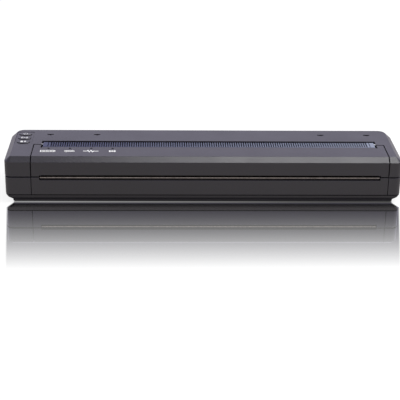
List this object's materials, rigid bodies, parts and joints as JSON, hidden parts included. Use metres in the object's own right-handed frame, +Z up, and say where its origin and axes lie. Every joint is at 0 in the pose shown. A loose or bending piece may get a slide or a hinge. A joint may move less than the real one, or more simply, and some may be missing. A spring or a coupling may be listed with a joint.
{
  "type": "a4 portable thermal printer",
  "caption": "Slim bar-shaped portable printer for A4 sheets, with a hinged release cover, a ribbed paper inlet on top and a paper exit slot along the front.",
  "frame": {"origin": "middle of the footprint at the level of the rubber feet's soles", "axes": "+X to the right along the paper's width, -Y towards the paper exit at the front, +Z up"},
  "size_m": [0.255, 0.055, 0.0309],
  "materials": {
    "charcoal_case": "fine moulded texture",
    "blue_grey_ribs": "satin",
    "black_guide": "satin",
    "button_plastic": "satin",
    "bare_steel": "rolled sheet",
    "black_painted_steel": "satin paint, worn at the edge",
    "turned_steel": "ground",
    "platen_rubber": "ground matt",
    "foot_rubber": "matt",
    "white_acetal": "satin",
    "motor_can": "zinc plated",
    "pinion_brass": "turned",
    "green_board": "solder mask",
    "black_component": "satin",
    "port_shell": "tinned",
    "cable_film": "satin",
    "battery_sleeve": "shrink film",
    "head_ceramic": "glazed",
    "sink_aluminium": "extruded",
    "smoked_lens": "clear",
    "screw_steel": "black zinc"
  },
  "bodies": {
    "base": {"lower_case": "charcoal_case", "upper_case": "charcoal_case", "front_panel": "charcoal_case", "exit_guide": "black_painted_steel", "paper_chute": "black_guide", "paper_sensor": "black_component", "battery_pack": "battery_sleeve", "battery_contacts": "black_component", "chassis": "bare_steel", "left_bushing": "white_acetal", "right_bushing": "white_acetal", "reduction_stud": "turned_steel", "motor": "motor_can", "motor_cable": "cable_film", "main_board": "green_board", "tact_switches": "black_component", "power_inlet": "black_component", "data_port": "port_shell", "button_bezel": "charcoal_case", "left_hinge_pin": "turned_steel", "right_hinge_pin": "turned_steel", "rubber_feet": "foot_rubber", "case_screws": "screw_steel"},
    "cover": {"release_cover": "charcoal_case", "rib_guide": "blue_grey_ribs", "inner_guide": "black_guide", "head_frame": "bare_steel", "head_springs": "bare_steel", "indicator_board": "green_board", "power_indicator": "smoked_lens", "data_indicator": "smoked_lens", "status_indicator": "smoked_lens", "link_indicator": "smoked_lens"},
    "print_head": {"heat_sink": "sink_aluminium", "thermal_head": "head_ceramic"},
    "platen": {"platen_shaft": "turned_steel", "platen_rubber": "platen_rubber", "platen_gear": "white_acetal"},
    "reduction": {"reduction_gear": "white_acetal"},
    "rotor": {"motor_pinion": "pinion_brass"},
    "power_key": {"power_button": "button_plastic"},
    "link_key": {"link_button": "button_plastic"},
    "feed_key": {"feed_button": "button_plastic"},
    "door": {"battery_door": "charcoal_case"}
  },
  "joints": [
    {"name": "release_cover_hinge", "type": "hinge", "parent": "base", "child": "cover", "pos_m": [0, 0.0019, 0.029], "axis": [-1, 0, 0], "range_deg": [0, 80]},
    {"name": "print_head_pivot", "type": "hinge", "parent": "cover", "child": "print_head", "pos_m": [0, -0.0068, 0.0215], "axis": [-1, 0, 0], "range_deg": [0, 2.5], "stiffness_Nm_per_rad": 1.5, "springref_deg": -5.73, "deforming": ["head_springs"]},
    {"name": "platen_spin", "type": "hinge", "parent": "base", "child": "platen", "pos_m": [0, -0.012, 0.0126], "axis": [1, 0, 0], "continuous": true},
    {"name": "reduction_spin", "type": "hinge", "parent": "base", "child": "reduction", "pos_m": [0, 0, 0.0126], "axis": [1, 0, 0], "continuous": true},
    {"name": "motor_spin", "type": "hinge", "parent": "base", "child": "rotor", "pos_m": [0, 0.012, 0.0126], "axis": [1, 0, 0], "continuous": true},
    {"name": "power_button_press", "type": "slide", "parent": "base", "child": "power_key", "axis": [0, 0, -1], "range_m": [0, 0.0005], "stiffness_N_per_m": 800, "springref_m": -0.0003},
    {"name": "link_button_press", "type": "slide", "parent": "base", "child": "link_key", "axis": [0, 0, -1], "range_m": [0, 0.0005], "stiffness_N_per_m": 800, "springref_m": -0.0003},
    {"name": "feed_button_press", "type": "slide", "parent": "base", "child": "feed_key", "axis": [0, 0, -1], "range_m": [0, 0.0005], "stiffness_N_per_m": 800, "springref_m": -0.0003},
    {"name": "battery_door_slide", "type": "slide", "parent": "base", "child": "door", "axis": [0, 1, 0], "range_m": [0, 0.02]}
  ],
  "couplings": [
    {"joint": "reduction_spin", "follows": "platen_spin", "ratio": -2},
    {"joint": "motor_spin", "follows": "platen_spin", "ratio": 6}
  ]
}
